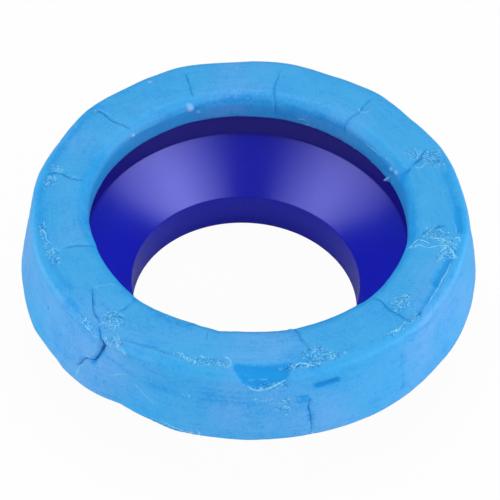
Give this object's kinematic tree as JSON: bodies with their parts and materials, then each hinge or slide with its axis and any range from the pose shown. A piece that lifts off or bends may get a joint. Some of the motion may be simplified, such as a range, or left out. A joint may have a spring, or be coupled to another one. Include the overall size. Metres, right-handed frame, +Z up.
{
  "type": "toilet outlet seal",
  "caption": "Creased ring of blue sealing putty round a dark blue plastic funnel, which seals a toilet pan's outlet to the drain pipe in the floor.",
  "frame": {"origin": "on the funnel's axis, in the plane of the spout's lower rim, which is the lowest face", "axes": "+Z up the funnel's axis, from the spout to the putty's top; -Y towards the main crack's side of the ring, as the picture sees it"},
  "size_m": [0.1394, 0.139, 0.0456],
  "materials": {
    "putty": "satin",
    "funnel_plastic": "gloss"
  },
  "bodies": {
    "root": {"putty_ring": "putty", "funnel": "funnel_plastic"}
  },
  "joints": []
}
